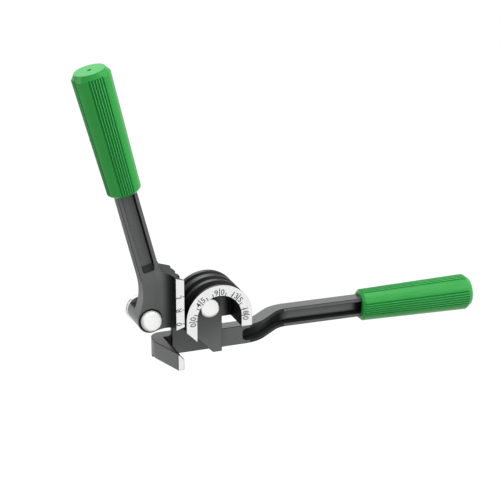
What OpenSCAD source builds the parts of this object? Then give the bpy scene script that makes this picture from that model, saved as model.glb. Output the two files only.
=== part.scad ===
// Three-groove lever tube bender, drawn in millimetres, X right, Y back, Z up.
// The origin lies on the flat back face of the fixed arm, straight below the bend centre.

/* [Bend] */
// Radius from the bend centre to the axis of every tube groove
bend_r = 30; // [24:1:40]
// Tube size of the front groove
tube_a = 8; // [6:0.5:9]
// Tube size of the middle groove
tube_b = 6; // [5:0.5:8]
// Tube size of the rear groove
tube_c = 5; // [4:0.5:7]
// Spacing of the three grooves from front to back
groove_pitch = 12.6; // [11.5:0.1:14]
// Edge break at both lips of every groove
groove_lip = 0.8; // [0.3:0.1:1.2]

/* [Former] */
// Depth of the former from its front face to the fixed arm
former_depth = 39.5; // [36:0.5:46]
// Radial wall between the ridges and the open pocket
former_wall = 9.5; // [8:0.5:12]
// Thickness of the web at the rear of the pocket
web_t = 12.5; // [10:0.5:16]

/* [Fixed arm] */
// Height of the fixed arm
arm_h = 17; // [14:0.5:22]
// Thickness of the fixed arm
arm_t = 12.5; // [10:0.5:16]
// Height of the bend centre above the middle of the arm
pivot_z = 35.8; // [33:0.2:42]
// Sideways step of the arm towards the back
arm_step = 24.3; // [14:0.1:30]
// Turn of the handle towards the front behind the step, in degrees
arm_toe = 1.5; // [0:0.1:4]
// Distance from the bend centre to the mouth of the fixed grip
fixed_grip_x = 157; // [140:1:190]

/* [Lever and link] */
// Distance between the two pins
pin_spacing = 55.5; // [52:0.5:64]
// Lean of the lever away from the vertical, in degrees
lever_lean = 14.3; // [10:0.1:20]
// Distance along the lever from the pin height to the mouth of its grip
lever_grip_y = 116; // [100:1:140]
// Thickness of the lever arm
lever_t = 13.5; // [11:0.5:17]
// Thickness of the link plate
link_t = 6.5; // [5:0.5:9]

/* [Pins] */
// Diameter of both pivot pins
pin_d = 10; // [8:0.5:11]
// Diameter of both pin heads
pin_head_d = 18; // [15:0.5:20]
// Radial running clearance of the pins in the link bushes
pin_fit = 0.04; // [0.02:0.01:0.08]

/* [Grips] */
// Length of each grip
grip_len = 107; // [90:0.5:130]
// Radius of a grip at its mouth
grip_r_mouth = 14.2; // [13.5:0.1:17]
// Radius of a grip at its outer end
grip_r_end = 16.2; // [14.5:0.1:19]

/* [Hidden] */
$fn = 64;

// Former and grooves
ridge_gap = 1;
ridge_r = bend_r - ridge_gap;
pocket_r = ridge_r - former_wall;
web_y = former_depth - web_t;
groove_y0 = 6.8;
leg_drop = 10.4;
foot_drop = pivot_z + 6.6;
chamfer_c = ridge_r + 9.7;
foot_x = 11.7;

// Fixed arm
arm_y = former_depth;
arm_back = arm_y + arm_t;
arm_top = arm_h / 2 - pivot_z;
arm_bottom = -arm_h / 2 - pivot_z;
bend_x = 37.5;
bend_a = 40;
bend_c = 26;
bend_n = 10;
bend_l = (arm_step - 2 * bend_c * (1 - cos(bend_a))) / sin(bend_a);
bend_end_x = bend_x + 2 * bend_c * sin(bend_a) + bend_l * cos(bend_a);
arm_mid_y = arm_y + arm_t / 2;
grip_mid_y = arm_mid_y + arm_step;
handle_x = bend_end_x + bend_c * sin(arm_toe);
handle_y = grip_mid_y - bend_c * (1 - cos(arm_toe));
mouth_y = handle_y - (fixed_grip_x - handle_x) * tan(arm_toe);
rib_t = 3.2;
recess_d = 4.5;
recess_x = 35;
mouth_d = 8;
tang_w = 10;
tang_len = grip_len - 22;
ear_t = 4;
ear_back = arm_y + ear_t;
ear_left = 0.8 - bend_r;

// Hook
hook_gap = 1.3;
hook_x = bend_r + hook_gap;
hook_chamfer = 5.5;
hook_out = hook_x + 15.4;
hook_corner = arm_t - 1.5;
hook_bottom = arm_bottom + 2;

// Stack on the pins, from front to back
axial_play = 0.3;
thrust_t = 0.8;
link_y = ear_back + thrust_t + axial_play;
link_back = link_y + link_t;
rear_y = link_back + axial_play;
washer_t = 1;
spring_t = 0.8;
clip_t = 1;
clip_y = rear_y + washer_t + spring_t;
pin_end = clip_y + clip_t + 1.8;
washer_d = pin_d + 8;
bush_d = pin_d + 4;
link_r = pin_d + 2.4;
link_top = pin_d - 0.9;
pin_head_t = 4;
clip_bore = pin_d - 1.6;

// Lever
lever_x = -pin_spacing;
lever_y = 14.5;
lever_back = lever_y + lever_t;
boss_r = pin_d + 1;
boss_back = ear_back - 0.1;
boss_flat = pin_d / 2 + 1.3;
shoe_gap = 0.8;
shoe_x = bend_r + shoe_gap;
shoe_w = 7;
shoe_depth = former_depth - 1;
shoe_low = -3.8;
shoe_top = 37.4;
shoe_slope = 0.32;
lever_axis_x = lever_x + 10.7;
lever_rib_t = 3.1;
pocket_d = (lever_t - 3.5) / 2;
runout_r = pocket_d + 1.2;
runout = sqrt(runout_r * runout_r - (runout_r - pocket_d) * (runout_r - pocket_d));
bar_w0 = 17.4;
bar_w1 = 17;

// Places of the fastenings of the former
screw_at = [[-bend_r / 3, -bend_r * 0.63], [bend_r * 0.18, -bend_r * 0.67]];
dowel_at = [[bend_r * 0.15, 0.3 - pivot_z], [-bend_r * 0.58, -bend_r * 0.43]];
screw_d = 5;
screw_len = 12;
dowel_d = 5;
dowel_len = 10;

// Draws a front-view outline from depth y0 back to depth y1
module slab(y0, y1) {
    translate([0, y1, 0]) rotate([90, 0, 0]) linear_extrude(height = y1 - y0) children();
}

// Draws a round bar along Y, centred on x, z
module rod(y0, y1, r, x = 0, z = 0) {
    translate([x, y1, z]) rotate([90, 0, 0]) cylinder(h = y1 - y0, r = r);
}

// Draws a ring along Y
module ring(y0, y1, ro, ri, x = 0, z = 0) {
    difference() {
        rod(y0, y1, ro, x, z);
        rod(y0 - 1, y1 + 1, ri, x, z);
    }
}

// Moves the tool from the bend centre to the shared origin
module place() {
    translate([0, -arm_back, pivot_z]) children();
}

// Broken lips of a tube groove in stock on its +x side whose face lies at x = gap
module lips_2d(d, gap) {
    r = d / 2;
    w0 = sqrt(r * r - gap * gap) + groove_lip;
    w1 = sqrt(r * r - (gap + groove_lip) * (gap + groove_lip)) - 0.05;
    polygon([[gap - 0.3, -w0 - 0.3], [gap + groove_lip, -w1], [gap + groove_lip, w1], [gap - 0.3, w0 + 0.3]]);
}

// Straight upright groove; side 1 cuts stock to the right of the tube, side -1 to its left
module straight_groove(d, gap, x, y, z0, z1, side) {
    translate([x, y, z0]) {
        cylinder(h = z1 - z0, r = d / 2);
        linear_extrude(height = z1 - z0) rotate(side > 0 ? 0 : 180) lips_2d(d, gap);
    }
}

// Straight upright grooves in stock that lies to the left of the tubes
module grooves_left_stock(z0, z1, gap) {
    for (i = [0:2]) {
        straight_groove([tube_a, tube_b, tube_c][i], gap, -bend_r, groove_y0 + i * groove_pitch, z0, z1, -1);
    }
}

// Curved grooves round the former and their straight run-outs
module former_grooves() {
    for (i = [0:2]) {
        d = [tube_a, tube_b, tube_c][i];
        y = groove_y0 + i * groove_pitch;
        intersection() {
            translate([0, y, 0]) rotate([90, 0, 0]) {
                rotate_extrude($fn = 128) translate([bend_r, 0]) circle(r = d / 2);
                rotate_extrude($fn = 128) translate([bend_r, 0]) rotate(180) lips_2d(d, ridge_gap);
            }
            translate([-2 * bend_r, y - d, 0]) cube([4 * bend_r, 2 * d, 2 * bend_r]);
        }
        straight_groove(d, ridge_gap, -bend_r, y, -foot_drop, 0, 1);
        straight_groove(d, ridge_gap, bend_r, y, -foot_drop, 0, -1);
    }
}

// Half disc with two legs and the foot, seen from the front
module former_outline() {
    intersection() {
        circle(r = ridge_r, $fn = 128);
        translate([-ridge_r - 1, -0.5]) square([2 * ridge_r + 2, ridge_r + 2]);
    }
    polygon([[-ridge_r, 0], [-ridge_r, ridge_r - chamfer_c], [foot_drop - chamfer_c, -foot_drop],
             [foot_x, -foot_drop], [foot_x, -leg_drop], [ridge_r, -leg_drop], [ridge_r, 0]]);
}

module bending_former() {
    color("DimGray") place() difference() {
        slab(0, former_depth) former_outline();
        slab(-1, web_y) {
            circle(r = pocket_r, $fn = 96);
            translate([-pocket_r, -foot_drop - 1]) square([2 * pocket_r, foot_drop + 1]);
        }
        former_grooves();
        rod(web_y - 1, former_depth + 1, pin_d / 2);
        for (p = screw_at) {
            rod(former_depth - screw_len + ear_t, former_depth + 1, screw_d / 2, p[0], p[1]);
        }
        for (p = dowel_at) {
            rod(former_depth - dowel_len / 2, former_depth + 1, dowel_d / 2, p[0], p[1]);
        }
    }
}

// Points of the stepped arm's plan at the side offset t from its middle line, from left to right
function arm_path(t, x0, x1) = concat(
    [[x0, arm_mid_y + t]],
    [for (i = [0:bend_n]) let (a = bend_a * i / bend_n)
        [bend_x + (bend_c - t) * sin(a), arm_mid_y + bend_c - (bend_c - t) * cos(a)]],
    [for (i = [bend_n:-1:0]) let (a = (bend_a + arm_toe) * i / bend_n - arm_toe)
        [bend_end_x - (bend_c + t) * sin(a), grip_mid_y - bend_c + (bend_c + t) * cos(a)]],
    [[x1 + t * sin(arm_toe), handle_y + t * cos(arm_toe) - (x1 - handle_x) * tan(arm_toe)]]);

// Puts something drawn along +X on the axis of the fixed handle, with x = 0 at the mouth of its grip
module on_handle() {
    translate([fixed_grip_x, mouth_y, -pivot_z]) rotate([0, 0, -arm_toe]) children();
}

// The same points from right to left
function flip(v) = [for (i = [len(v) - 1:-1:0]) v[i]];

// Plan of the stepped arm between the side offsets t0 and t1
module arm_plan(t0, t1, x0, x1) {
    polygon(concat(arm_path(t0, x0, x1), flip(arm_path(t1, x0, x1))));
}

// Plan of the whole bar, with its rounded rear corner behind the hook
module bar_plan() {
    c = hook_corner;
    x1 = fixed_grip_x + mouth_d * cos(arm_toe);
    polygon(concat(
        arm_path(-arm_t / 2, -hook_out, x1),
        flip(arm_path(arm_t / 2, c - hook_out, x1)),
        [for (a = [10:10:90]) [c - hook_out - c * sin(a), arm_back - c + c * cos(a)]]));
}

// Long window with round ends, seen from the front
module recess_window(x0, x1, z0, z1, r) {
    translate([x0 + r, z0]) square([x1 - x0 - r, z1 - z0]);
    translate([x0, z0 + r]) square([r + 0.01, z1 - z0 - 2 * r]);
    translate([x0 + r, z0 + r]) circle(r = r);
    translate([x0 + r, z1 - r]) circle(r = r);
}

// Plate that stands up behind the former and carries its pin
module ear_outline() {
    circle(r = pin_d + 5);
    polygon([[-pin_d - 5, 0], [ear_left, -11], [ear_left, arm_top - 3], [foot_x + 1, arm_top - 3],
             [pin_d + 5, 0]]);
}

// Finger that passes under the tubes and hooks over them
module hook() {
    difference() {
        translate([0, 0, hook_bottom]) linear_extrude(height = arm_top - hook_bottom) polygon([
            [-hook_out, arm_y + 1], [-hook_out, arm_y - 7.7],
            [-hook_x - hook_chamfer, 0], [-hook_x, 0], [-hook_x, arm_y + 1]]);
        slab(-1, arm_y) polygon([[-hook_x - hook_chamfer, arm_top], [-hook_x, arm_top - hook_chamfer],
                                 [-hook_x + 3, arm_top - hook_chamfer], [-hook_x + 3, arm_top + 3],
                                 [-hook_x - hook_chamfer, arm_top + 3]]);
    }
}

module fixed_arm() {
    color("DimGray") place() difference() {
        union() {
            translate([0, 0, arm_bottom]) linear_extrude(height = arm_h) bar_plan();
            hook();
            slab(arm_y, ear_back) ear_outline();
            on_handle() translate([mouth_d - 1, -tang_w / 2, -tang_w / 2]) cube([tang_len + 1, tang_w, tang_w]);
        }
        intersection() {
            translate([0, 0, arm_bottom - 1]) linear_extrude(height = arm_h + 2)
                arm_plan(-arm_t / 2 - 0.5, recess_d - arm_t / 2, recess_x - 5, fixed_grip_x + mouth_d);
            slab(arm_y - 2, arm_back + arm_step + 2)
                recess_window(recess_x, fixed_grip_x + 2, arm_bottom + rib_t, arm_top - rib_t, 3);
        }
        intersection() {
            translate([0, 0, arm_bottom - 1]) linear_extrude(height = arm_h + 2)
                arm_plan(arm_t / 2 - recess_d, arm_t / 2 + 0.5, recess_x - 5, fixed_grip_x + mouth_d);
            slab(arm_y - 2, arm_back + arm_step + 2)
                recess_window(bend_end_x + 6, fixed_grip_x + 2, arm_bottom + rib_t, arm_top - rib_t, 3);
        }
        grooves_left_stock(hook_bottom - 1, arm_top + 1, hook_gap);
        translate([-hook_x, arm_y - 1, arm_bottom - 1]) cube([hook_x + ear_left, 2.2, arm_h + 2]);
        rod(arm_y - 1, ear_back + 1, pin_d / 2);
        for (p = screw_at) {
            rod(arm_y - 1, ear_back + 1, screw_d / 2, p[0], p[1]);
            translate([p[0], ear_back, p[1]]) rotate([90, 0, 0])
                cylinder(h = screw_d / 2, r1 = screw_d, r2 = screw_d / 2);
        }
        for (p = dowel_at) {
            rod(arm_y - 1, arm_y + min(dowel_len / 2, ear_t), dowel_d / 2, p[0], p[1]);
        }
    }
}

// Countersunk screws that hold the former on the ear
module former_screws() {
    color("Silver") place() for (p = screw_at) {
        difference() {
            union() {
                rod(ear_back - screw_len, ear_back - 0.5, screw_d / 2, p[0], p[1]);
                translate([p[0], ear_back, p[1]]) rotate([90, 0, 0])
                    cylinder(h = screw_d / 2, r1 = screw_d, r2 = screw_d / 2);
            }
            translate([p[0], ear_back + 0.5, p[1]]) rotate([90, 0, 0]) cylinder(h = 2.3, r = 1.75, $fn = 6);
        }
    }
}

module former_dowels() {
    color("Silver") place() for (p = dowel_at) {
        rod(arm_y - dowel_len / 2, arm_y + min(dowel_len / 2, ear_t), dowel_d / 2, p[0], p[1]);
    }
}

// Headed pin with a clip groove; the head lies in front of depth y0
module headed_pin(y0) {
    e = 1.9;
    hr = pin_head_d / 2;
    translate([0, y0, 0]) rotate([90, 0, 0]) rotate_extrude() {
        square([hr - e, pin_head_t]);
        square([hr, pin_head_t - e]);
        translate([hr - e, pin_head_t - e]) circle(r = e);
    }
    difference() {
        rod(y0 - 1, pin_end, pin_d / 2);
        ring(clip_y, clip_y + clip_t, pin_d, clip_bore / 2);
    }
}

module former_pin() {
    color("Gainsboro") place() headed_pin(web_y);
}

module lever_pin() {
    color("Gainsboro") place() translate([lever_x, 0, 0]) headed_pin(lever_y);
}

// Snap ring with an open side
module clip() {
    difference() {
        ring(clip_y, clip_y + clip_t, pin_d / 2 + 2.2, clip_bore / 2);
        translate([-1.6, clip_y - 1, 0]) cube([3.2, clip_t + 2, pin_d]);
    }
}

// Slightly coned spring washer
module spring_washer() {
    y = rear_y + washer_t;
    translate([0, y + spring_t, 0]) rotate([90, 0, 0]) rotate_extrude() polygon([
        [pin_d / 2, 0], [pin_d / 2, spring_t - 0.4], [washer_d / 2 - 1, spring_t], [washer_d / 2 - 1, 0.4]]);
}

module former_pin_thrust_washer() {
    color("Goldenrod") place() ring(ear_back, ear_back + thrust_t, pin_d + 3, pin_d / 2);
}

module former_pin_rear_washer() {
    color("Silver") place() ring(rear_y, rear_y + washer_t, washer_d / 2, pin_d / 2);
}

module former_pin_spring_washer() {
    color("Silver") place() spring_washer();
}

module former_pin_clip() {
    color("DarkSlateGray") place() clip();
}

module lever_pin_thrust_washer() {
    color("Goldenrod") place()
        ring(boss_back, boss_back + thrust_t, boss_r, pin_d / 2, lever_x);
}

module lever_pin_rear_washer() {
    color("Silver") place() ring(rear_y, rear_y + washer_t, washer_d / 2, pin_d / 2, lever_x);
}

module lever_pin_spring_washer() {
    color("Silver") place() translate([lever_x, 0, 0]) spring_washer();
}

module lever_pin_clip() {
    color("DarkSlateGray") place() translate([lever_x, 0, 0]) clip();
}

module link_plate() {
    color("Gainsboro") place() difference() {
        slab(link_y, link_back) {
            circle(r = link_r);
            translate([lever_x, 0]) circle(r = link_r);
            translate([lever_x, -link_r]) square([pin_spacing, 2 * link_r]);
        }
        translate([lever_x - link_r - 1, link_y - 1, link_top])
            cube([pin_spacing + 2 * link_r + 2, link_t + 2, link_r]);
        rod(link_y - 1, link_back + 1, bush_d / 2);
        rod(link_y - 1, link_back + 1, bush_d / 2, lever_x);
    }
}

module link_bush_former() {
    color("Peru") place() ring(link_y, link_back, bush_d / 2, pin_d / 2 + pin_fit);
}

module link_bush_lever() {
    color("Peru") place() ring(link_y, link_back, bush_d / 2, pin_d / 2 + pin_fit, lever_x);
}

// Puts a front-view outline on the leaning axis of the lever
module lean() {
    translate([lever_axis_x, 0]) rotate(lever_lean) children();
}

// Lower half of the lever, seen from the front, without its boss
module lever_body_outline() {
    neck_r = 45;
    bar_left = lever_axis_x - bar_w0 / 2 / cos(lever_lean);
    neck_z = 35.6;
    neck_x = bar_left - neck_z * tan(lever_lean);
    cove_r = 7.5;
    cove_x = -shoe_x - 10.2;
    cove_z = shoe_top + shoe_slope * 10.2;
    difference() {
        polygon([[neck_x, neck_z], [lever_x - boss_r, 4], [lever_x, 0], [lever_x + 3.2, -boss_r * 0.956],
                 [-shoe_x - 1, shoe_low - 0.313], [-shoe_x - 1, shoe_top + shoe_slope],
                 [cove_x, cove_z], [cove_x, cove_z + cove_r], [cove_x - cove_r - 3, cove_z + cove_r + 4]]);
        translate([neck_x - neck_r * cos(lever_lean), neck_z - neck_r * sin(lever_lean)]) circle(r = neck_r, $fn = 128);
        translate([cove_x, cove_z + cove_r]) circle(r = cove_r);
    }
}

// Outline of the shoe between its left side x0 and the tube side
module shoe_outline(x0) {
    polygon([[x0, shoe_low - 0.313 * (-shoe_x - x0)], [-shoe_x, shoe_low], [-shoe_x, shoe_top],
             [x0, shoe_top + shoe_slope * (-shoe_x - x0)]]);
}

// Long recess in the face of the lever at depth y, cut towards side, with a curved run-out at its lower end
module lever_recess(y, side) {
    low = 44;
    half = bar_w1 / 2 - lever_rib_t;
    intersection() {
        slab(y - pocket_d - 1, y + pocket_d + 1) lean() rotate(90)
            recess_window(low - 0.3, lever_grip_y + 2, -half, half, 3.5);
        translate([lever_axis_x, 0, 0]) rotate([0, -lever_lean, 0]) {
            translate([-bar_w1, y - (side > 0 ? 1 : pocket_d), low + runout])
                cube([2 * bar_w1, pocket_d + 1, lever_grip_y]);
            translate([-bar_w1, y + side * (pocket_d - runout_r), low + runout])
                rotate([0, 90, 0]) cylinder(h = 2 * bar_w1, r = runout_r);
        }
    }
}

module bending_lever() {
    cove = 12;
    left = -shoe_x - shoe_w;
    color("DimGray") place() difference() {
        union() {
            slab(lever_y, lever_back) {
                lever_body_outline();
                lean() polygon([[-bar_w0 / 2, 36], [bar_w0 / 2, 44], [bar_w1 / 2, lever_grip_y],
                                [bar_w1 / 2, lever_grip_y + mouth_d], [-bar_w1 / 2, lever_grip_y + mouth_d],
                                [-bar_w1 / 2, lever_grip_y]]);
            }
            difference() {
                rod(lever_y, boss_back, boss_r, lever_x);
                translate([lever_x - boss_r - 1, lever_back, boss_flat]) cube([2 * boss_r + 2, boss_back, boss_r]);
            }
            slab(0, shoe_depth) shoe_outline(left);
            slab(lever_back - 1, shoe_depth) shoe_outline(left - 4.2);
            intersection() {
                translate([0, 0, -20]) linear_extrude(height = 80) difference() {
                    translate([left - cove, lever_y - cove]) square([cove + 1, cove + 1]);
                    translate([left - cove, lever_y - cove]) circle(r = cove);
                }
                slab(0, lever_back) shoe_outline(left - cove);
            }
            slab(lever_y + (lever_t - tang_w) / 2, lever_y + (lever_t + tang_w) / 2) lean()
                translate([-tang_w / 2, lever_grip_y + mouth_d - 1]) square([tang_w, tang_len + 1]);
        }
        lever_recess(lever_y, 1);
        lever_recess(lever_back, -1);
        grooves_left_stock(-20, 60, shoe_gap);
        rod(lever_y - 1, boss_back + 1, pin_d / 2, lever_x);
    }
}

// Grip along +Z from its mouth at z = 0, for an arm of section w by t
module grip(w, t) {
    edge = 2;
    end_edge = 3.2;
    end_slope = 4.8;
    rib_turn = -7;
    play = 0.4;
    taper = atan((grip_r_end - grip_r_mouth) / grip_len);
    difference() {
        rotate_extrude($fn = 96) polygon([
            [0, 0], [grip_r_mouth - edge, 0], [grip_r_mouth, edge], [grip_r_end, grip_len - end_slope],
            [grip_r_end - end_edge, grip_len], [0, grip_len]]);
        translate([-w / 2 - play, -t / 2 - play, -1]) cube([w + 2 * play, t + 2 * play, mouth_d + 1]);
        translate([-tang_w / 2, -tang_w / 2, mouth_d - 1]) cube([tang_w, tang_w, tang_len + 1]);
        translate([0, 0, grip_len - 9]) cylinder(h = 10, r = 1.7, $fn = 24);
        for (q = [0:3]) {
            for (i = [0:5]) {
                rotate([0, 0, q * 90 + rib_turn + (i - 2.5) * 8.2]) translate([grip_r_mouth + 0.1, 0, 0])
                    rotate([0, taper, 0]) translate([0, 0, -2]) cylinder(h = grip_len + 4, r = 0.8, $fn = 16);
            }
        }
    }
}

module fixed_grip() {
    color("ForestGreen") place()
        on_handle() rotate([0, 90, 0]) grip(arm_h, arm_t);
}

module lever_grip() {
    color("ForestGreen") place()
        translate([lever_axis_x, lever_y + lever_t / 2, 0]) rotate([0, -lever_lean, 0])
            translate([0, 0, lever_grip_y]) grip(bar_w1, lever_t);
}

fixed_arm();
bending_former();
former_screws();
former_dowels();
former_pin();
former_pin_thrust_washer();
former_pin_rear_washer();
former_pin_spring_washer();
former_pin_clip();
fixed_grip();
link_plate();
link_bush_former();
link_bush_lever();
bending_lever();
lever_pin();
lever_pin_thrust_washer();
lever_pin_rear_washer();
lever_pin_spring_washer();
lever_pin_clip();
lever_grip();
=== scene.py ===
"""Looks of the three-groove lever tube bender: finishes, broken edges, scale marks, floor, light, camera."""

import math

import bpy
from mathutils import Matrix, Vector


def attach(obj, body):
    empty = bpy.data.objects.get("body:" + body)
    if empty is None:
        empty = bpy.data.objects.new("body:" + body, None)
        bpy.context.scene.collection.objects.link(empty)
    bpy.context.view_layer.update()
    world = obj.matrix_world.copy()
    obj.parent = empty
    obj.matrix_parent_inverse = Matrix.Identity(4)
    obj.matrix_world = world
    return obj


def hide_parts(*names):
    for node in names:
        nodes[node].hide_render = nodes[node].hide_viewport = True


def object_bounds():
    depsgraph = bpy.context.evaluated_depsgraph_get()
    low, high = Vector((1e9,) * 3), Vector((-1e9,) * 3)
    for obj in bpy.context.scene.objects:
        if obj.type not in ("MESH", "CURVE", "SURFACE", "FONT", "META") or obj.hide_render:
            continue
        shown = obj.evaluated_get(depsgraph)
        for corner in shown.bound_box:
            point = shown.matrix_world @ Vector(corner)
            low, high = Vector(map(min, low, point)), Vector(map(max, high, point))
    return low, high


MM = 0.001

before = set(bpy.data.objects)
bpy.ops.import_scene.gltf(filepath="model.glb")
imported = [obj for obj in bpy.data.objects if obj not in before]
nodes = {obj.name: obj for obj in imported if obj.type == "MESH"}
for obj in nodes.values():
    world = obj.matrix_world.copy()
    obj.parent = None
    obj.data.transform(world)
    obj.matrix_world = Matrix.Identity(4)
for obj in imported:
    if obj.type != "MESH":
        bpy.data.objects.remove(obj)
cad_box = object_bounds()

# Main places and sizes of the tool in the shared frame, in metres
FRONT_Y = -52 * MM
PIN_Z = 35.8 * MM
LEVER_PIN_X = -55.5 * MM
BEND_CENTRE = Vector((0, FRONT_Y, PIN_Z))
RIDGE_R = 29 * MM
POCKET_R = 19.5 * MM
GRIP_LEN = 107 * MM
GRIP_MOUTH_R = 14.2 * MM
GRIP_END_R = 16.2 * MM
ARM_TOE = math.radians(1.5)
ALONG_HANDLE = Vector((math.cos(ARM_TOE), -math.sin(ARM_TOE), 0))
ACROSS_HANDLE = Vector((math.sin(ARM_TOE), math.cos(ARM_TOE), 0))
FIXED_GRIP_MOUTH = Vector((157, 16.18, 0)) * MM
LEVER_LEAN = math.radians(14.3)
ALONG_LEVER = Vector((-math.sin(LEVER_LEAN), 0, math.cos(LEVER_LEAN)))
ACROSS_LEVER = Vector((math.cos(LEVER_LEAN), 0, math.sin(LEVER_LEAN)))
LEVER_GRIP_MOUTH = Vector((-73.452, -30.75, 148.206)) * MM
# Where the axis of the lever's bar comes down to the height of the pins
LEVER_FOOT = BEND_CENTRE + Vector((-44.3 * MM, 0, 0))


def linear(code):
    """Turns an sRGB hex colour into linear RGBA."""
    parts = [int(code[i:i + 2], 16) / 255 for i in (1, 3, 5)]
    return [c / 12.92 if c <= 0.04045 else ((c + 0.055) / 1.055) ** 2.4 for c in parts] + [1.0]


def set_inputs(tree, node, inputs):
    """Sets each named input of a node, or links it where the value is a socket."""
    for name, value in inputs.items():
        if isinstance(value, bpy.types.NodeSocket):
            tree.links.new(value, node.inputs[name])
        else:
            node.inputs[name].default_value = value


def put(tree, kind, inputs=None, **settings):
    """Adds a node, with its settings, and sets or links its inputs."""
    node = tree.nodes.new(kind)
    for name, value in settings.items():
        setattr(node, name, value)
    set_inputs(tree, node, inputs or {})
    return node


def noise(tree, place, size, detail):
    """Noise with features of about this many millimetres."""
    inputs = {"Vector": place, "Scale": 1 / (size * MM), "Detail": detail}
    return put(tree, "ShaderNodeTexNoise", inputs).outputs["Fac"]


def map_range(tree, value, from_range, to_range=(0, 1), curve="LINEAR"):
    """Maps a value from one range to another and holds it there at both ends."""
    inputs = {"Value": value, "From Min": from_range[0], "From Max": from_range[1],
              "To Min": to_range[0], "To Max": to_range[1]}
    return put(tree, "ShaderNodeMapRange", inputs, interpolation_type=curve).outputs["Result"]


def mix_colours(tree, share, low, high):
    """Goes from the low to the high sRGB hex colour as the share goes from 0 to 1."""
    inputs = {"Factor": share, "A": linear(low), "B": linear(high)}
    return put(tree, "ShaderNodeMix", inputs, data_type="RGBA").outputs["Result"]


def bump(tree, height, strength, depth):
    """Bumps the surface by a height, over a depth in millimetres."""
    inputs = {"Height": height, "Strength": strength, "Distance": depth * MM}
    return put(tree, "ShaderNodeBump", inputs).outputs["Normal"]


def distance_along(tree, place, direction):
    """How far a place lies along a direction."""
    inputs = {0: place, 1: direction}
    return put(tree, "ShaderNodeVectorMath", inputs, operation="DOT_PRODUCT").outputs["Value"]


def larger(tree, one, other):
    """The larger of two values."""
    return put(tree, "ShaderNodeMath", {0: one, 1: other}, operation="MAXIMUM").outputs["Value"]


def new_material(name):
    """Starts a material and returns it with its tree, its shader and its object coordinates."""
    material = bpy.data.materials.new(name)
    material.use_nodes = True
    tree = material.node_tree
    shader = tree.nodes["Principled BSDF"]
    place = put(tree, "ShaderNodeTexCoord").outputs["Object"]
    return material, tree, shader, place


# Parts of a noise's range: where most of its values lie, and the lower part that is open grain
NOISE_BODY = (0.3, 0.7)
OPEN_GRAIN = (0.36, 0.52)


def cast_enamel(name, low, high, rough, peel, specular=0.5):
    """Stoved black enamel on cast aluminium: the grain of the casting shows through as a soft peel."""
    material, tree, shader, place = new_material(name)
    # Blotches of about 9 mm where the enamel lies thicker, grain of about 0.9 mm from the casting skin
    blotch = noise(tree, place, 9, 3.0)
    grain = noise(tree, place, 0.9, 2.0)
    set_inputs(tree, shader, {
        "Base Color": mix_colours(tree, map_range(tree, blotch, NOISE_BODY), low, high),
        "Roughness": map_range(tree, blotch, NOISE_BODY, (rough - 0.03, rough + 0.03)),
        "Normal": bump(tree, grain, peel, 0.04),
        "IOR": 1.52,
        "Specular IOR Level": specular,
    })
    return material


def light_and_shade_enamel(name, *slopes):
    """The same enamel with painted shade and painted highlight: it goes from satin grey to black along each
    slope.

    A slope is a direction, the place along it where the enamel is still grey and the place where it is black.
    """
    material, tree, shader, place = new_material(name)
    darkest = None
    for direction, grey_at, black_at in slopes:
        along = distance_along(tree, place, direction)
        depth = map_range(tree, along, (grey_at, black_at), curve="SMOOTHSTEP")
        darkest = depth if darkest is None else larger(tree, darkest, depth)
    set_inputs(tree, shader, {
        "Base Color": mix_colours(tree, darkest, "#686969", "#08090a"),
        "Roughness": 0.45,
        "Specular IOR Level": 0.12,
    })
    return material


def side_light_enamel(name, direction, satin_at, dull_at):
    """The same enamel with painted light: its colour goes lighter, and its finish from satin to dull, along a
    direction.
    """
    material, tree, shader, place = new_material(name)
    along = distance_along(tree, place, direction)
    light_share = map_range(tree, along, (satin_at, dull_at), curve="SMOOTHSTEP")
    set_inputs(tree, shader, {
        "Base Color": mix_colours(tree, light_share, "#525353", "#646565"),
        "Roughness": map_range(tree, light_share, (0, 1), (0.3, 0.6)),
        "Specular IOR Level": map_range(tree, light_share, (0, 1), (0.5, 0.06)),
    })
    return material


def machined_aluminium():
    """Faced cast aluminium left bare: bright, with the fine speckle of the open grain and faint waves."""
    material, tree, shader, place = new_material("machined_bare_aluminium")
    # Speckle of about 0.5 mm, and shallow waves about 10 mm apart that the cutter leaves
    speck = noise(tree, place, 0.5, 2.0)
    apart_at_scale_1 = math.pi / 5
    cutter = {"Vector": place, "Scale": apart_at_scale_1 / (10.05 * MM), "Distortion": 1.5}
    waves = put(tree, "ShaderNodeTexWave", cutter, bands_direction="DIAGONAL").outputs["Fac"]
    set_inputs(tree, shader, {
        "Base Color": mix_colours(tree, map_range(tree, speck, OPEN_GRAIN), "#c8c9ca", "#eeeeef"),
        "Normal": bump(tree, waves, 0.15, 0.02),
        "Metallic": 0.6,
        "Roughness": 0.45,
    })
    return material


def plated_metal(name, low, high, rough, grain_mm, metallic=1.0):
    """Plated or drawn metal: an even satin with slow changes of tone and fine handling marks."""
    material, tree, shader, place = new_material(name)
    # Clouds of about 6 mm in the plating
    cloud = noise(tree, place, 6, 3.0)
    fine = noise(tree, place, grain_mm, 2.0)
    set_inputs(tree, shader, {
        "Base Color": mix_colours(tree, cloud, low, high),
        "Roughness": map_range(tree, cloud, NOISE_BODY, (rough - 0.05, rough + 0.06)),
        "Normal": bump(tree, fine, 0.03, 0.02),
        "Metallic": metallic,
    })
    return material


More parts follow.
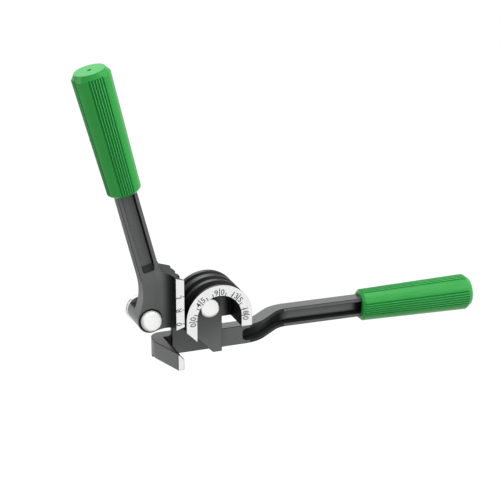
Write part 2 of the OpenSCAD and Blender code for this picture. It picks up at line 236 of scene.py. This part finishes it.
def pin_zinc(name, bright_centre, rough, metallic):
    """Zinc plate on a pin head: bright on its face, with painted shade on the low side of the rim.

    The painted shade grows with the distance from bright_centre, a point above the middle of the head.
    """
    material, tree, shader, place = new_material(name)
    still_bright = 7.4 * MM
    fully_grey = 11 * MM
    flat = put(tree, "ShaderNodeVectorMath", {0: place, 1: (1, 0, 1)}, operation="MULTIPLY")
    ends = {0: flat.outputs["Vector"], 1: bright_centre}
    reach = put(tree, "ShaderNodeVectorMath", ends, operation="DISTANCE").outputs["Value"]
    # Painted shade: the rim greys with the distance from bright_centre
    rim_shade = map_range(tree, reach, (still_bright, fully_grey), curve="SMOOTHSTEP")
    set_inputs(tree, shader, {
        "Base Color": mix_colours(tree, rim_shade, "#f8f8f7", "#9a9b9b"),
        "Roughness": rough,
        "Metallic": metallic,
    })
    return material


def moulded_vinyl(name, low, high, rough, specular):
    """Green vinyl grip, moulded in a finely etched tool: satin, a little mottled, soft highlights."""
    material, tree, shader, place = new_material(name)
    # Mottling of about 14 mm from the flow in the mould, etch grain of about 0.5 mm
    cloud = noise(tree, place, 14, 3.0)
    etch = noise(tree, place, 0.5, 1.0)
    set_inputs(tree, shader, {
        "Base Color": mix_colours(tree, cloud, low, high),
        "Roughness": map_range(tree, cloud, NOISE_BODY, (rough - 0.05, rough + 0.05)),
        "Normal": bump(tree, etch, 0.12, 0.04),
        "IOR": 1.53,
        "Specular IOR Level": specular,
    })
    return material


def scale_ink():
    """Dark filler in shallow engraving: matt, a little broken in tone."""
    material, tree, shader, place = new_material("dark_engraving_filler")
    # Breaks in tone of about 0.7 mm
    set_inputs(tree, shader, {
        "Base Color": mix_colours(tree, noise(tree, place, 0.7, 2.0), "#1c1d1f", "#3a3b3d"),
        "Roughness": 0.7,
    })
    return material


# Enamel of the castings: satin where it lies thin; darker and duller copies of it are painted shade on the
# edges, in the recess ends, on faces turned from the light and in hollows
satin_enamel = cast_enamel("satin_black_enamel_on_cast_aluminium", "#505151", "#545555", 0.3, 0.08)
shade_enamel_edges = cast_enamel("black_enamel_painted_dark_as_shade_on_edges", "#101011", "#151516", 0.5, 0.1, 0.15)
# Painted shade at the lower end of the lever's recess
shade_enamel_recess_end = cast_enamel("black_enamel_painted_dark_as_shade_in_recess_ends", "#303131", "#363737", 0.55, 0.12, 0.15)
# Painted shade: a darker enamel in the hook throat, on the step walls, on the shoe tops and on the boss top
shade_enamel_dark = cast_enamel("black_enamel_painted_darker_as_shade", "#202121", "#262727", 0.55, 0.12, 0.15)
# Painted shade: near-black enamel on the walls of grooves, pockets and recesses
shade_enamel_black = cast_enamel("black_enamel_painted_black_as_shade_in_hollows", "#0a0a0b", "#0f0f10", 0.5, 0.1, 0.12)

# Painted shade in hollows and a painted highlight on the ridges: the enamel goes from grey to black, each
# along its own slope
ALONG_X = (1, 0, 0)
ALONG_Z = (0, 0, 1)
across_0 = LEVER_FOOT.dot(ACROSS_LEVER)
# Painted shade in the cove, on the recess floors and in the former's pocket
cove_shade = light_and_shade_enamel("black_enamel_painted_as_shade_in_cove_beside_shoe", (ALONG_X, -46.5 * MM, -39 * MM))
lever_floor_shade = light_and_shade_enamel("black_enamel_painted_as_shade_on_lever_recess_floor",
                            (ACROSS_LEVER, across_0 + 3.9 * MM, across_0 + 5.2 * MM))
# Painted light: the lever's left side goes lighter towards the top
lever_side_light = side_light_enamel("black_enamel_painted_lighter_on_left_of_lever", ALONG_Z, 45 * MM, 78 * MM)
arm_floor_shade = light_and_shade_enamel("black_enamel_painted_as_shade_on_arm_recess_floor", (ALONG_X, 90 * MM, 79 * MM),
                          (ALONG_X, 148 * MM, 154 * MM), (ALONG_Z, -1.4 * MM, -4.2 * MM))
web_shade = light_and_shade_enamel("black_enamel_painted_as_shade_in_former_pocket", (ALONG_X, 11 * MM, 17.5 * MM))
# Painted highlight: the ridge crests are grey in the middle and black towards both ends
ridge_highlight = light_and_shade_enamel("black_enamel_with_painted_highlight_on_former_ridges", (ALONG_X, -7 * MM, -21 * MM),
                            (ALONG_X, -7 * MM, 8 * MM))

# Metals; the places are those on the two pin heads from which painted shade grows over their rims
bare_face = machined_aluminium()
zinc = plated_metal("bright_zinc_plated_steel", "#f6f6f6", "#fcfcfb", 0.3, 0.4, 0.85)
former_zinc = pin_zinc("zinc_plated_former_pin_steel", Vector((0.3, 0, 37.8)) * MM, 0.3, 0.85)
lever_zinc = pin_zinc("zinc_plated_lever_pin_steel", Vector((-54.0, 0, 37.1)) * MM, 0.5, 0.4)
# Painted shade: the back of the link plate is darker than its front and edge
back_shade_zinc = plated_metal("zinc_plated_steel_painted_darker_as_shade_on_back", "#c4c6c7", "#d4d5d6", 0.36, 0.4, 0.9)
screw_steel = plated_metal("zinc_plated_screw_steel", "#b9bbbd", "#cfd0d1", 0.32, 0.3)
spring_steel = plated_metal("oil_blackened_spring_steel", "#3a3b3e", "#4c4d50", 0.38, 0.4)
bronze = plated_metal("sintered_bronze", "#a9793f", "#c0904f", 0.45, 0.3)
dull_bronze = plated_metal("tarnished_bronze", "#2f2b27", "#3b3631", 0.5, 0.3)
tinned_bronze = plated_metal("tin_plated_bronze", "#f6f6f6", "#fcfcfb", 0.3, 0.4, 0.85)

# Vinyl of the grips, with painted shade in the rib grooves and painted light on the crests and the ends; a
# black ring as dull and finely grained as matt enamel, put as shade under the lever pin head; filler of the
# marks
vinyl = moulded_vinyl("green_moulded_vinyl", "#238b37", "#27943c", 0.24, 0.2)
# Painted shade in the rib grooves, a painted highlight on the crests beside them, painted light on the grip
# ends
groove_shade_vinyl = moulded_vinyl("green_moulded_vinyl_painted_darker_as_shade_in_grooves", "#18742f", "#1c7b34", 0.5, 0.1)
crest_highlight_vinyl = moulded_vinyl("green_moulded_vinyl_with_painted_highlight_on_ribs", "#3aa951", "#44b15a", 0.34, 0.3)
end_light_vinyl = moulded_vinyl("green_moulded_vinyl_painted_lighter_as_light_on_end", "#4fb261", "#57b969", 0.45, 0.3)
# Black for the ring that stands for the shade under the lever pin head
ring_black = cast_enamel("black_ring_standing_for_shade", "#0a0a0b", "#0e0e0f", 0.6, 0.1, 0.12)
ink = scale_ink()


def deselect():
    """Leaves nothing selected."""
    bpy.ops.object.select_all(action="DESELECT")


def activate(piece):
    """Makes a piece the only selected and active object."""
    deselect()
    piece.select_set(True)
    bpy.context.view_layer.objects.active = piece


def name_piece(piece, name):
    """Names a piece and its mesh."""
    piece.name = name
    piece.data.name = name


def settle():
    """Writes the active object's place, turn and scale into its mesh."""
    bpy.ops.object.transform_apply(location=True, rotation=True, scale=True)


def copy_node(node, name):
    """Copies a CAD node as a new piece, joins its loose triangles and merges its flat faces."""
    piece = nodes[node].copy()
    piece.data = nodes[node].data.copy()
    name_piece(piece, name)
    for key in list(piece.keys()):
        del piece[key]
    piece.parent = None
    bpy.context.scene.collection.objects.link(piece)
    piece.data.materials.clear()
    activate(piece)
    bpy.ops.object.mode_set(mode="EDIT")
    bpy.ops.mesh.customdata_custom_splitnormals_clear()
    bpy.ops.mesh.select_all(action="SELECT")
    bpy.ops.mesh.remove_doubles(threshold=0.02 * MM)
    bpy.ops.mesh.dissolve_limited(angle_limit=math.radians(0.6))
    bpy.ops.object.mode_set(mode="OBJECT")
    return piece


def paint_faces(piece, materials, choose):
    """Gives each face the material that choose(centre, normal) returns."""
    for material in materials:
        piece.data.materials.append(material)
    for face in piece.data.polygons:
        face.material_index = materials.index(choose(face.center, face.normal))


def break_edges(piece, share_at):
    """Rounds the sharp edges by EDGE_BREAK times share_at(middle, length); a share of 0 leaves one sharp."""
    activate(piece)
    bpy.ops.object.mode_set(mode="EDIT")
    bpy.ops.mesh.select_mode(type="EDGE")
    bpy.ops.mesh.select_all(action="DESELECT")
    bpy.ops.mesh.edges_select_sharp(sharpness=math.radians(32))
    bpy.ops.object.mode_set(mode="OBJECT")
    mesh = piece.data
    weights = mesh.attributes.new("bevel_weight_edge", "FLOAT", "EDGE")
    for edge in mesh.edges:
        if edge.select:
            start, end = (mesh.vertices[corner].co for corner in edge.vertices)
            weights.data[edge.index].value = share_at((start + end) / 2, (end - start).length)
    bevel = piece.modifiers.new("broken_edges", "BEVEL")
    bevel.limit_method = "WEIGHT"
    bevel.width = EDGE_BREAK
    bevel.segments = 2
    bevel.use_clamp_overlap = False
    # The bevel faces take the enamel painted dark as shade lines along the edges
    bevel.material = mesh.materials.find(shade_enamel_edges.name)
    bpy.ops.object.modifier_apply(modifier=bevel.name)
    bpy.ops.object.shade_smooth_by_angle(angle=math.radians(34))
    weighted = piece.modifiers.new("flat_faces", "WEIGHTED_NORMAL")
    weighted.keep_sharp = True
    bpy.ops.object.modifier_apply(modifier=weighted.name)


def stand_for(piece, node, body):
    """Shows the piece in place of its CAD node and lets it move with the body."""
    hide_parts(node)
    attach(piece, body)


def from_axis(point):
    """Distance from the bend axis."""
    return math.hypot(point.x - BEND_CENTRE.x, point.z - BEND_CENTRE.z)


def on_front(point, normal):
    """True on the faces that are machined to the front plane."""
    return normal.y < -0.99 and abs(point.y - FRONT_Y) < 0.05 * MM


# The functions below choose finishes, painted shade and painted light by place; the plain numbers they set
# against a normal are cosines.
# Broken edges of the castings; edges shorter than SHORT_EDGE stay sharp on the arm and the lever
EDGE_BREAK = 0.4 * MM
SHORT_EDGE = 0.6 * MM

# Bending former
WEB_LOW_Z = BEND_CENTRE.z - 12 * MM
FOOT_HALF = 12 * MM
former = copy_node("bending_former", "painted_bending_former")


def former_face(point, normal):
    """Bare front ring; satin foot and flats; painted shade on the web towards its right, a painted highlight
    on the ridge crests, and black painted shade in the grooves and on the pocket walls.
    """
    reach = from_axis(point)
    above = point.z > BEND_CENTRE.z
    if on_front(point, normal):
        return bare_face
    if normal.y < -0.98 and reach < POCKET_R and point.z > WEB_LOW_Z:
        return web_shade
    if abs(normal.y) > 0.98 or normal.z < -0.5 and point.z < BEND_CENTRE.z:
        return satin_enamel
    if reach > RIDGE_R - 0.3 * MM and above and abs(normal.y) < 0.2:
        return ridge_highlight
    if reach > POCKET_R + 2 * MM and abs(point.x) > FOOT_HALF or above:
        return shade_enamel_black
    return shade_enamel_black if abs(point.x) > POCKET_R - 1 * MM else satin_enamel


def former_edge(middle, length):
    """Edges of the machined front are broken less than the cast ones."""
    return 0.4 if abs(middle.y - FRONT_Y) < 0.1 * MM else 1.0


former_skins = [satin_enamel, bare_face, shade_enamel_black, shade_enamel_edges, ridge_highlight, web_shade]
paint_faces(former, former_skins, former_face)
break_edges(former, former_edge)
stand_for(former, "bending_former", "fixed_handle")

# Fixed arm
HOOK_X = -29.3 * MM
HOOK_BACK_Y = -10 * MM
HOOK_THROAT_Y = -14 * MM
STEP_START_X = 34 * MM
STEP_END_X = 90 * MM
ARM_RECESS_HALF = 5.5 * MM
ARM_RIB_FACE = -5 * MM
arm = copy_node("fixed_arm", "painted_fixed_arm")


def arm_face(point, normal):
    """Bare hook tip; painted shade inside the hook, on the step and on the recess walls; a recess floor whose
    painted shade deepens to black; satin elsewhere.
    """
    in_step = STEP_START_X < point.x < STEP_END_X
    if on_front(point, normal):
        return bare_face
    if point.x < HOOK_X and point.y < HOOK_BACK_Y:
        if normal.x > 0.3 or normal.y < -0.9 and point.y > HOOK_THROAT_Y:
            return shade_enamel_dark
    if point.x > STEP_END_X and (point - FIXED_GRIP_MOUTH).dot(ACROSS_HANDLE) < ARM_RIB_FACE:
        return satin_enamel
    if point.x > STEP_START_X and abs(point.z) < ARM_RECESS_HALF and normal.y < 0.3:
        if normal.z > 0.5 or normal.x > 0.9:
            return shade_enamel_dark if point.x < STEP_END_X else shade_enamel_black
        return arm_floor_shade if normal.y < -0.3 else satin_enamel
    return shade_enamel_dark if in_step and normal.y < 0 and normal.x > 0.12 else satin_enamel


def arm_edge(middle, length):
    """All but the shortest edges are broken."""
    return 1.0 if length > SHORT_EDGE else 0.0


arm_skins = [satin_enamel, bare_face, shade_enamel_black, shade_enamel_edges, arm_floor_shade, shade_enamel_dark]
paint_faces(arm, arm_skins, arm_face)
break_edges(arm, arm_edge)
stand_for(arm, "fixed_arm", "fixed_handle")

# Bending lever
COVE_LEFT_X = -55 * MM
COVE_RIGHT_X = -37.5 * MM
COVE_BACK_Y = -30 * MM
SHOULDER_LOW_Z = 60 * MM
SHOULDER_HIGH_Z = 78.5 * MM
BAR_RIGHT_X = -47 * MM
SHOE_GROOVE_X = -33.5 * MM
BOSS_X = -50 * MM
BOSS_TOP_Z = 45 * MM
LEVER_RECESS_Z = 77 * MM
LEVER_RECESS_HALF = 5.5 * MM
LEVER_RECESS_Y = FRONT_Y + 15 * MM
SHARP_BELOW_Z = 82 * MM
lever = copy_node("bending_lever", "painted_bending_lever")


def lever_face(point, normal):
    """Bare shoe face; painted shade in the cove beside it, on the shoulders, in the grooves, on the boss top
    and in the recess; painted light on the left side; satin elsewhere.
    """
    if on_front(point, normal):
        return bare_face
    if COVE_LEFT_X < point.x < COVE_RIGHT_X and point.y < COVE_BACK_Y:
        if normal.x < -0.02 and abs(normal.z) < 0.3:
            return cove_shade
    if normal.z > 0.5 and SHOULDER_LOW_Z < point.z < SHOULDER_HIGH_Z and point.x > BAR_RIGHT_X:
        return shade_enamel_dark
    if point.x > SHOE_GROOVE_X and normal.x > 0.2:
        return shade_enamel_black
    if normal.z > 0.9 and point.x < BOSS_X and point.z < BOSS_TOP_Z:
        return shade_enamel_dark
    in_bar = point.z > LEVER_RECESS_Z and point.x < BAR_RIGHT_X
    across = (point - LEVER_FOOT).dot(ACROSS_LEVER)
    if in_bar and abs(across) < LEVER_RECESS_HALF and point.y > LEVER_RECESS_Y:
        if normal.y < -0.99:
            return lever_floor_shade
        return shade_enamel_recess_end if normal.z > 0.1 else shade_enamel_black
    return lever_side_light if normal.x < -0.5 and point.z > BOSS_TOP_Z else satin_enamel


def lever_edge(middle, length):
    """All but the shortest edges of the bar are broken; the boss and the shoe stay sharp."""
    return 1.0 if length > SHORT_EDGE and middle.z > SHARP_BELOW_Z else 0.0


lever_skins = [satin_enamel, bare_face, shade_enamel_black, shade_enamel_edges, cove_shade, shade_enamel_dark, lever_floor_shade,
               lever_side_light, shade_enamel_recess_end]
paint_faces(lever, lever_skins, lever_face)
break_edges(lever, lever_edge)
stand_for(lever, "bending_lever", "lever")

# Grips: the skin lies outside the socket; rib grooves are cut into the cone of the grip
SOCKET_REACH = 11 * MM
GROOVE_DEEPEST = -1 * MM
GROOVE_SHALLOWEST = -0.05 * MM
RIB_START = 2 * MM
RIB_STOP = GRIP_LEN - 5 * MM
END_FACE = GRIP_LEN - 6 * MM
RIB_HALF = math.radians(1.5)


def turn_ribs(grip, mouth, axis, turn):
    """Turns the ribbed skin about the grip's axis; the socket for the bar keeps its place."""
    spin = Matrix.Rotation(turn, 3, axis)
    for vertex in grip.data.vertices:
        away = vertex.co - mouth
        if (away - axis * away.dot(axis)).length > SOCKET_REACH:
            vertex.co = mouth + spin @ away


def dress_grip(node, name, body, mouth, axis, turn):
    """Makes a grip with its ribs a little turned: painted shade in the grooves, a painted highlight on the
    crests, painted light on the end.
    """
    grip = copy_node(node, name)
    turn_ribs(grip, mouth, axis, turn)
    side = axis.orthogonal().normalized()
    other_side = axis.cross(side)

    def polar(point):
        """Height above the cone of the grip, and angle round its axis."""
        away = point - mouth
        cone = GRIP_MOUTH_R + (GRIP_END_R - GRIP_MOUTH_R) * away.dot(axis) / GRIP_LEN
        x, y = away.dot(side), away.dot(other_side)
        return math.hypot(x, y) - cone, math.atan2(y, x)

    def in_groove(point):
        """True on the floor and the walls of a rib groove."""
        if not RIB_START < (point - mouth).dot(axis) < RIB_STOP:
            return False
        return GROOVE_DEEPEST < polar(point)[0] < GROOVE_SHALLOWEST

    groove_angles = [polar(face.center)[1] for face in grip.data.polygons if in_groove(face.center)]

    def grip_face(point, normal):
        """Tells the grooves, the crests beside them and the end from the plain skin."""
        height, angle = polar(point)
        facing = normal.dot(axis)
        if in_groove(point):
            return groove_shade_vinyl
        if facing > 0.95 and (point - mouth).dot(axis) > END_FACE:
            return end_light_vinyl
        if height < GROOVE_DEEPEST or abs(facing) > 0.2:
            return vinyl
        beside = any(math.cos(angle - groove) > math.cos(RIB_HALF) for groove in groove_angles)
        return crest_highlight_vinyl if beside else vinyl

    paint_faces(grip, [vinyl, groove_shade_vinyl, crest_highlight_vinyl, end_light_vinyl], grip_face)
    activate(grip)
    bpy.ops.object.shade_smooth_by_angle(angle=math.radians(30))
    stand_for(grip, node, body)


FIXED_RIB_TURN = math.radians(8)
LEVER_RIB_TURN = math.radians(6)
dress_grip("fixed_grip", "moulded_fixed_grip", "fixed_handle", FIXED_GRIP_MOUTH, ALONG_HANDLE, FIXED_RIB_TURN)
dress_grip("lever_grip", "moulded_lever_grip", "lever", LEVER_GRIP_MOUTH, ALONG_LEVER, LEVER_RIB_TURN)

# Small hardware keeps its CAD shape and takes its real finish; the two pin heads also carry painted shade on
# the low side of their rims
for node, material in (("former_pin", former_zinc), ("lever_pin", lever_zinc),
                       ("former_screws", screw_steel), ("former_dowels", screw_steel),
                       ("former_pin_rear_washer", screw_steel), ("lever_pin_rear_washer", screw_steel),
                       ("former_pin_spring_washer", spring_steel), ("lever_pin_spring_washer", spring_steel),
                       ("former_pin_clip", spring_steel), ("lever_pin_clip", spring_steel),
                       ("former_pin_thrust_washer", dull_bronze), ("lever_pin_thrust_washer", tinned_bronze),
                       ("link_bush_former", bronze), ("link_bush_lever", bronze)):
    nodes[node].data.materials.clear()
    nodes[node].data.materials.append(material)


def link_face(point, normal):
    """Tells the back of the link plate, painted darker as shade, from its bright edge and front."""
    return back_shade_zinc if normal.y > 0.9 else zinc


link_plate = nodes["link_plate"]
link_plate.data.materials.clear()
paint_faces(link_plate, [zinc, back_shade_zinc], link_face)

# Black ring, squeezed flat, between the head of the lever pin and the boss: a dark piece that stands for the
# shade under the head
RING_R = 9.65 * MM
RING_SECTION_R = 0.65 * MM
RING_SQUEEZE = 0.55
RING_Y = -37.86 * MM
deselect()
bpy.ops.mesh.primitive_torus_add(major_segments=96, minor_segments=12, major_radius=RING_R,
                                 minor_radius=RING_SECTION_R)
head_shade_ring = bpy.context.active_object
name_piece(head_shade_ring, "lever_pin_dark_ring_for_shade")
bpy.ops.object.mode_set(mode="EDIT")
bpy.ops.mesh.select_all(action="SELECT")
bpy.ops.transform.resize(value=(1, 1, RING_SQUEEZE), center_override=(0, 0, 0))
bpy.ops.object.mode_set(mode="OBJECT")
head_shade_ring.rotation_euler = (math.pi / 2, 0, 0)
head_shade_ring.location = Vector((LEVER_PIN_X, RING_Y, PIN_Z))
settle()
bpy.ops.object.shade_smooth()
head_shade_ring.data.materials.append(ring_black)
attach(head_shade_ring, "lever")

# Filled marks stand a hair above the front plane; figures are drawn a little fatter than their font
MARK_RISE = 0.03 * MM
FIGURE_FATTENING = 0.06 * MM
CAPITAL_SHARE = 0.7


def mark_text(body, height, place, turn):
    """Makes one engraved figure as a thin mesh on the front plane, turned about Y."""
    deselect()
    bpy.ops.object.text_add()
    word = bpy.context.active_object
    word.data.body = body
    word.data.size = height / CAPITAL_SHARE
    word.data.align_x = "CENTER"
    word.data.align_y = "CENTER"
    word.data.extrude = MARK_RISE
    word.data.offset = FIGURE_FATTENING
    bpy.ops.object.convert(target="MESH")
    word.rotation_euler = (math.pi / 2, turn, 0)
    word.location = place
    settle()
    return word


def mark_line(start, end, width):
    """Makes one engraved line as a thin flat bar on the front plane."""
    deselect()
    along = end - start
    bpy.ops.mesh.primitive_cube_add(size=1)
    bar = bpy.context.active_object
    bar.scale = (along.length, 2 * MARK_RISE, width)
    bar.rotation_euler = (0, -math.atan2(along.z, along.x), 0)
    bar.location = (start + end) / 2
    settle()
    return bar


def join_marks(marks, name, body):
    """Joins the marks into one inked piece of closed shells."""
    deselect()
    for mark in marks:
        mark.select_set(True)
    bpy.context.view_layer.objects.active = marks[0]
    bpy.ops.object.join()
    piece = bpy.context.active_object
    bpy.ops.object.mode_set(mode="EDIT")
    bpy.ops.mesh.select_all(action="SELECT")
    bpy.ops.mesh.remove_doubles(threshold=0.002 * MM)
    bpy.ops.object.mode_set(mode="OBJECT")
    name_piece(piece, name)
    piece.data.materials.clear()
    piece.data.materials.append(ink)
    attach(piece, body)


# Half-round scale of bend angles: long lines and figures every 45 degrees, short lines every 15
SCALE_CENTRE = BEND_CENTRE - Vector((0, 0, 0.6 * MM))
SCALE_INNER_R = 19.6 * MM
FIGURE_R = 23.1 * MM
SCALE_OUTER_R = 26.9 * MM
SCALE_LINE_W = 0.75 * MM
SCALE_FIGURE_H = 4.8 * MM
ONE_FIGURE_OFF = math.radians(6.9)
TWO_FIGURES_OFF = math.radians(9.6)


def round_point(radius, angle):
    """Point on the front plane; angle runs clockwise from the left end of the half ring."""
    return SCALE_CENTRE + Vector((-radius * math.cos(angle), 0, radius * math.sin(angle)))


marks = []
for degrees in range(0, 181, 15):
    angle = math.radians(degrees)
    long_line = degrees % 45 == 0
    line_end = round_point(SCALE_OUTER_R if long_line else FIGURE_R, angle)
    marks.append(mark_line(round_point(SCALE_INNER_R, angle), line_end, SCALE_LINE_W))
    if long_line:
        figures = f"{degrees:02d}"
        for part, way in ((figures[:-1], -1), (figures[-1:], 1)):
            turned = angle + way * (TWO_FIGURES_OFF if len(part) > 1 else ONE_FIGURE_OFF)
            spot = round_point(FIGURE_R, turned)
            marks.append(mark_text(part, SCALE_FIGURE_H, spot, turned - math.pi / 2))
join_marks(marks, "bend_angle_scale", "fixed_handle")

# Start marks on the shoe: a letter and a short line to its right at each height, in millimetres
LETTER_X = -35.2 * MM
LETTER_H = 4.5 * MM
TICK_START = Vector((2.8, 0, 0)) * MM
TICK_END = Vector((4.3, 0, 0)) * MM
TICK_W = 0.7 * MM
marks = []
for letter, height in (("L", 23.2), ("R", 11.5), ("0", -0.8)):
    centre = BEND_CENTRE + Vector((LETTER_X, 0, height * MM))
    marks.append(mark_text(letter, LETTER_H, centre, -math.pi / 2))
    marks.append(mark_line(centre + TICK_START, centre + TICK_END, TICK_W))
join_marks(marks, "shoe_start_marks", "lever")


def seen_rays(tree):
    """1 for what the camera sees itself, in a reflection or through glass, and 0 for light on the object."""
    rays = put(tree, "ShaderNodeLightPath").outputs
    seen = larger(tree, rays["Is Camera Ray"], rays["Is Glossy Ray"])
    return larger(tree, seen, rays["Is Transmission Ray"])


# Floor of pale paper, seen as white with the object's faint shadow
FLOOR_DROP = 160 * MM
FLOOR_GLOW = 0.9
deselect()
bpy.ops.mesh.primitive_plane_add(size=14, location=(0, 0, cad_box[0].z - FLOOR_DROP))
floor = bpy.context.active_object
floor.name = "floor"
floor_material = bpy.data.materials.new("pale_paper_floor")
floor_material.use_nodes = True
tree = floor_material.node_tree
paper = tree.nodes["Principled BSDF"]
seen = seen_rays(tree)
set_inputs(tree, paper, {"Base Color": mix_colours(tree, seen, "#a8a8a7", "#ffffff"), "Roughness": 0.9})
share = put(tree, "ShaderNodeMath", {0: seen, 1: FLOOR_GLOW}, operation="MULTIPLY").outputs["Value"]
glow = put(tree, "ShaderNodeEmission", {"Color": (1, 1, 1, 1), "Strength": 1.0})
mixed = put(tree, "ShaderNodeMixShader", {0: share, 1: paper.outputs[0], 2: glow.outputs[0]})
tree.links.new(mixed.outputs[0], tree.nodes["Material Output"].inputs["Surface"])
floor.data.materials.append(floor_material)

# White world, whose light on the object falls off from the upper right to the floor
world = bpy.context.scene.world or bpy.data.worlds.new("studio")
bpy.context.scene.world = world
world.use_nodes = True
tree = world.node_tree
tree.nodes.clear()
sky_place = put(tree, "ShaderNodeTexCoord").outputs["Generated"]
sky_height = distance_along(tree, sky_place, (0.3, 0, 0.95))
dome = map_range(tree, sky_height, (-0.2, 0.9), (0.08, 1.3))
strength = map_range(tree, seen_rays(tree), (0, 1), (dome, 1.0))
sky = put(tree, "ShaderNodeBackground", {"Color": (1, 1, 1, 1), "Strength": strength})
put(tree, "ShaderNodeOutputWorld", {"Surface": sky.outputs[0]})


def lamp(name, place, aim, width, height, power):
    """Adds a soft box at place, turned to the aim point."""
    data = bpy.data.lights.new(name, "AREA")
    data.shape = "RECTANGLE"
    data.size = width
    data.size_y = height
    data.energy = power
    box = bpy.data.objects.new(name, data)
    bpy.context.scene.collection.objects.link(box)
    box.location = place
    box.rotation_euler = (aim - place).to_track_quat("-Z", "Y").to_euler()


# Soft boxes round the middle of the tool, in metres and watts
middle = (cad_box[0] + cad_box[1]) / 2
lamp("top_softbox", middle + Vector((0.5, 0.1, 1.6)), middle, 1.6, 0.5, 9)
lamp("right_softbox", middle + Vector((1.6, -1.0, 1.1)), middle, 1.6, 1.6, 28)
lamp("front_softbox", middle + Vector((-0.9, -1.7, 0.3)), middle, 1.0, 1.0, 4)
lamp("left_softbox", middle + Vector((-1.6, 0.2, 0.3)), middle, 0.8, 0.8, 6)

# Camera, placed from the bend centre in its own right, up and ahead directions
CAMERA_TURN = math.radians(-20.6)
CAMERA_TILT = math.radians(20)
CAMERA_RIGHT = 0.0253
CAMERA_UP = 0.0565
CAMERA_BACK = 1.5514
right = Vector((math.cos(CAMERA_TURN), math.sin(CAMERA_TURN), 0))
up = Vector((-math.sin(CAMERA_TILT) * math.sin(CAMERA_TURN), math.sin(CAMERA_TILT) * math.cos(CAMERA_TURN),
             math.cos(CAMERA_TILT)))
ahead = up.cross(right)
camera_data = bpy.data.cameras.new("photo_camera")
camera_data.sensor_width = 36
camera_data.lens = 134.17
camera = bpy.data.objects.new("photo_camera", camera_data)
bpy.context.scene.collection.objects.link(camera)
camera.location = BEND_CENTRE + right * CAMERA_RIGHT + up * CAMERA_UP - ahead * CAMERA_BACK
camera.rotation_euler = (math.pi / 2 - CAMERA_TILT, 0, CAMERA_TURN)
bpy.context.scene.camera = camera
bpy.context.scene.view_settings.view_transform = "Standard"

bpy.context.view_layer.update()
